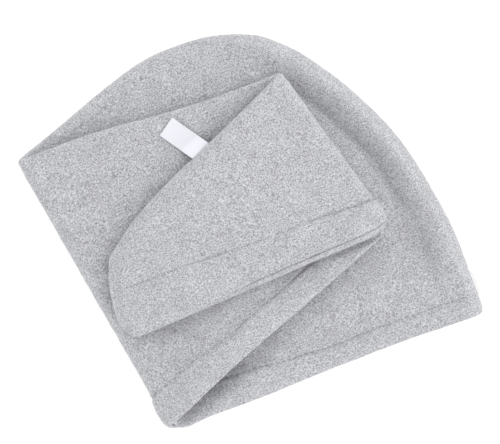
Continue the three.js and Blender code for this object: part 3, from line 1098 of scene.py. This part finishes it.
def set_inputs(node, values):
    """The node, once its named inputs hold the values."""
    for name, value in values.items():
        node.inputs[name].default_value = value
    return node


def towelling_material():
    """Plush: a fine grain of painted light on the loop tips and painted shade in the gaps between them, a
    soft mottling, and a bump of the same grain. The grain fills space, so it is as fine on a steep edge as
    on top, and the mottling follows the cut."""
    material, nodes, links, shader = new_material("towelling")
    set_inputs(shader, {"Roughness": 0.95, "Specular IOR Level": 0.1})
    set_inputs(shader, {"Sheen Weight": 0.25, "Sheen Roughness": 0.5})
    place = nodes.new("ShaderNodeUVMap")
    place.uv_map = "cut"
    space = nodes.new("ShaderNodeTexCoord")
    grain = set_inputs(nodes.new("ShaderNodeTexNoise"), {"Scale": 1000, "Detail": 5, "Roughness": 0.62})
    links.new(space.outputs["Object"], grain.inputs["Vector"])
    # Painted light and shade: the ramp's light end paints lit loop tips, and its dark end paints shade in
    # the gaps between the loops.
    ramp = nodes.new("ShaderNodeValToRGB")
    ramp.color_ramp.elements[0].position = 0.34
    ramp.color_ramp.elements[0].color = (0.185, 0.186, 0.196, 1)
    ramp.color_ramp.elements[1].position = 0.66
    ramp.color_ramp.elements[1].color = (0.6, 0.604, 0.629, 1)
    links.new(grain.outputs["Fac"], ramp.inputs["Fac"])
    cloud = set_inputs(nodes.new("ShaderNodeTexNoise"), {"Scale": 55, "Detail": 3})
    links.new(place.outputs["UV"], cloud.inputs["Vector"])
    shade = nodes.new("ShaderNodeMapRange")
    set_inputs(shade, {"From Min": 0.3, "From Max": 0.7, "To Min": 0.93, "To Max": 1.05})
    links.new(cloud.outputs["Fac"], shade.inputs["Value"])
    tint = nodes.new("ShaderNodeVectorMath")
    tint.operation = "SCALE"
    links.new(ramp.outputs["Color"], tint.inputs[0])
    links.new(shade.outputs["Result"], tint.inputs["Scale"])
    links.new(tint.outputs["Vector"], shader.inputs["Base Color"])
    bump = set_inputs(nodes.new("ShaderNodeBump"), {"Strength": 0.6, "Distance": 0.0006})
    links.new(grain.outputs["Fac"], bump.inputs["Height"])
    links.new(bump.outputs["Normal"], shader.inputs["Normal"])
    return material


towelling = towelling_material()
print("towelling has", len(towelling.node_tree.nodes), "nodes")

# %% [markdown]
# ## Satin, plastic and thread
#
# The label is satin, the button is moulded plastic, and both threads are twisted. Each has one colour and
# its own gloss, and a very low bump breaks its shine up: fine ribs on satin and thread, and a faint
# ripple on the plastic.

# %% Satin, plastic, thread and table
def bumped_material(name, color, roughness, texture, scale, distance):
    """One colour and roughness with a bump from a texture in object coordinates: a wave for satin and
    twisted thread, a noise for moulded plastic."""
    material, nodes, links, shader = new_material(name)
    set_inputs(shader, {"Base Color": (*color, 1), "Roughness": roughness})
    place = nodes.new("ShaderNodeTexCoord")
    pattern = set_inputs(nodes.new(texture), {"Scale": scale})
    links.new(place.outputs["Object"], pattern.inputs["Vector"])
    bump = set_inputs(nodes.new("ShaderNodeBump"), {"Distance": distance})
    links.new(pattern.outputs["Fac"], bump.inputs["Height"])
    links.new(bump.outputs["Normal"], shader.inputs["Normal"])
    return material


satin = bumped_material("satin", (0.68, 0.68, 0.73), 0.38, "ShaderNodeTexWave", 900, 0.00003)
plastic = bumped_material("button plastic", (0.88, 0.88, 0.87), 0.16, "ShaderNodeTexNoise", 120, 0.00002)
# The hem thread's dark grey is partly its own colour and partly painted shade of the groove the stitches
# sink into.
thread = bumped_material("thread", (0.3, 0.3, 0.31), 0.7, "ShaderNodeTexWave", 700, 0.0001)
white_thread = bumped_material("white thread", (0.8, 0.8, 0.8), 0.7, "ShaderNodeTexWave", 700, 0.0001)
table = bumped_material("table", (0.25, 0.25, 0.25), 0.9, "ShaderNodeTexNoise", 200, 0.00001)
for piece, material in (
    (back_cloth, towelling), (front_cloth, towelling), (back_stitches, thread), (front_stitches, thread),
    (label, satin), (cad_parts["button"], plastic), (button_thread, white_thread),
):
    piece.data.materials.clear()
    piece.data.materials.append(material)
    print(piece.name, "is made of", material.name)

# %% [markdown]
# ## The cloth as it was cut
#
# A folded towel hides how large it is, so the width and length that each ply was cut to are printed.

# %% Sheets
for panel, stitches in ((back_cloth, back_stitches), (front_cloth, front_stitches)):
    print(panel.name, "was cut", towel_width, "by", towel_length, "m")

# %% [markdown]
# ## The table
#
# The photograph's ground is pure white, with no shadow on it. A bright white table would throw too much
# light up at the towel's edges, so the table is a dull grey that glows a little: it looks white, and its
# shadows are faint.

# %% Table
floor_mesh = bpy.data.meshes.new("floor")
floor_half = 3
floor_drop = 0.1 * MM
floor_square = np.array([(-1, -1, 0), (1, -1, 0), (1, 1, 0), (-1, 1, 0)]) * floor_half
floor_mesh.from_pydata(floor_square.tolist(), [], [(0, 1, 2, 3)])
floor = bpy.data.objects.new("floor", floor_mesh)
floor.location.z = -floor_drop
bpy.context.scene.collection.objects.link(floor)
table_shader = table.node_tree.nodes["Principled BSDF"]
set_inputs(table_shader, {"Emission Color": (1, 1, 1, 1), "Emission Strength": 0.76})
floor_mesh.materials.append(table)
print("the table is", 2 * floor_half, "m wide")

# %% [markdown]
# ## The light
#
# Soft light from low all round makes the layers' edges bright and the gaps under them dark, as in the
# photograph. The sky is a dome whose brightness depends on the height above the horizon, and a little on
# the side: a window stands at the right. Two weak area lights add a trace of direction.

# %% The sky
world = bpy.data.worlds.new("studio")
world.use_nodes = True
world_nodes, world_links = world.node_tree.nodes, world.node_tree.links
direction = world_nodes.new("ShaderNodeTexCoord")
parts = world_nodes.new("ShaderNodeSeparateXYZ")
dome = world_nodes.new("ShaderNodeValToRGB")
dome.color_ramp.elements[0].color = (0.4, 0.4, 0.4, 1)
dome.color_ramp.elements[1].color = (0.12, 0.12, 0.12, 1)
dome.color_ramp.elements.new(0.3).color = (1, 1, 1, 1)
world_links.new(direction.outputs["Generated"], parts.inputs["Vector"])
world_links.new(parts.outputs["Z"], dome.inputs["Fac"])
world_links.new(dome.outputs["Color"], world_nodes["Background"].inputs["Color"])

picture_right = (0.935, -0.354, 0)
towards_window = world_nodes.new("ShaderNodeVectorMath")
towards_window.operation = "DOT_PRODUCT"
towards_window.inputs[1].default_value = picture_right
window = world_nodes.new("ShaderNodeMapRange")
set_inputs(window, {"From Min": -1, "From Max": 1, "To Min": 2.12, "To Max": 2.72})
world_links.new(direction.outputs["Generated"], towards_window.inputs[0])
world_links.new(towards_window.outputs["Value"], window.inputs["Value"])
world_links.new(window.outputs["Result"], world_nodes["Background"].inputs["Strength"])
bpy.context.scene.world = world
print("the sky has", len(world_nodes), "nodes")


# %% Two soft lights
def soft_light(name, place, size, power):
    """A square area light at a place, aimed at the towel."""
    data = bpy.data.lights.new(name, "AREA")
    data.size = size
    data.energy = power
    light = bpy.data.objects.new(name, data)
    light.location = place
    tilt = np.arccos(place[2] / np.linalg.norm(place))
    light.rotation_euler = (tilt, 0, np.arctan2(-place[1], -place[0]) - np.pi / 2)
    bpy.context.scene.collection.objects.link(light)


soft_light("key", (1.05, -0.36, 1.15), 0.9, 5)
soft_light("fill", (-1.55, 1.0, 1.25), 1.3, 6)
bpy.context.scene.view_settings.view_transform = "Standard"
print("lights:", ", ".join(light.name for light in bpy.data.lights))
